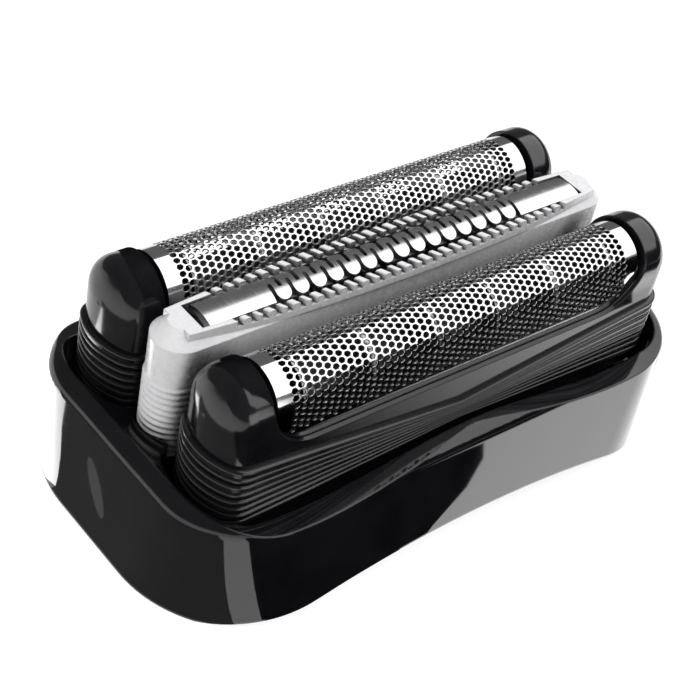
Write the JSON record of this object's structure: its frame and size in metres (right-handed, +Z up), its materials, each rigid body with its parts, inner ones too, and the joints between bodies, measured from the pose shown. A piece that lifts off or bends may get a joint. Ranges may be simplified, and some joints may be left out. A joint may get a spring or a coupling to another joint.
{
  "type": "shaver foil head",
  "caption": "Clip-on shaver head: perforated foils float beside a slotted middle trimmer, over sliding cutters, in a glossy arched frame.",
  "frame": {"origin": "centre of the footprint, at the lowest point of the sole", "axes": "+X along the foils, -Y the long side seen in the picture, +Z up out of the foils"},
  "size_m": [0.0568, 0.032, 0.0216],
  "materials": {
    "gloss_black": "polished",
    "carrier_black": "satin gloss",
    "foil_steel": "bright perforated sheet",
    "pale_plastic": "satin",
    "plate_steel": "ground",
    "blade_steel": "ground",
    "spring_steel": "rolled",
    "inner_plastic": "moulded"
  },
  "bodies": {
    "base": {"outer_frame": "gloss_black", "inner_chassis": "inner_plastic", "front_float_spring_left": "spring_steel", "front_float_spring_right": "spring_steel", "rear_float_spring_left": "spring_steel", "rear_float_spring_right": "spring_steel", "trimmer_float_spring_left": "spring_steel", "trimmer_float_spring_right": "spring_steel"},
    "front_foil_unit": {"front_foil_carrier": "carrier_black", "front_foil": "foil_steel", "front_foil_retainer": "inner_plastic"},
    "front_cutter": {"front_cutter_blades": "blade_steel", "front_cutter_holder": "inner_plastic"},
    "rear_foil_unit": {"rear_foil_carrier": "carrier_black", "rear_foil": "foil_steel", "rear_foil_retainer": "inner_plastic"},
    "rear_cutter": {"rear_cutter_blades": "blade_steel", "rear_cutter_holder": "inner_plastic"},
    "trimmer_unit": {"trimmer_carrier": "pale_plastic", "trimmer_comb_plate": "plate_steel"},
    "trimmer_cutter": {"trimmer_blade": "blade_steel", "trimmer_slider": "inner_plastic"}
  },
  "joints": [
    {"name": "front_foil_float", "type": "slide", "parent": "base", "child": "front_foil_unit", "axis": [0, 0, 1], "range_m": [-0.002, 0], "stiffness_N_per_m": 300, "springref_m": 0.002, "deforming": ["front_float_spring_left", "front_float_spring_right"]},
    {"name": "front_cutter_slide", "type": "slide", "parent": "front_foil_unit", "child": "front_cutter", "axis": [1, 0, 0], "range_m": [-0.0012, 0.0012]},
    {"name": "rear_foil_float", "type": "slide", "parent": "base", "child": "rear_foil_unit", "axis": [0, 0, 1], "range_m": [-0.002, 0], "stiffness_N_per_m": 300, "springref_m": 0.002, "deforming": ["rear_float_spring_left", "rear_float_spring_right"]},
    {"name": "rear_cutter_slide", "type": "slide", "parent": "rear_foil_unit", "child": "rear_cutter", "axis": [1, 0, 0], "range_m": [-0.0012, 0.0012]},
    {"name": "trimmer_float", "type": "slide", "parent": "base", "child": "trimmer_unit", "axis": [0, 0, 1], "range_m": [-0.002, 0], "stiffness_N_per_m": 300, "springref_m": 0.002, "deforming": ["trimmer_float_spring_left", "trimmer_float_spring_right"]},
    {"name": "trimmer_blade_slide", "type": "slide", "parent": "trimmer_unit", "child": "trimmer_cutter", "axis": [1, 0, 0], "range_m": [-0.0012, 0.0012]}
  ]
}
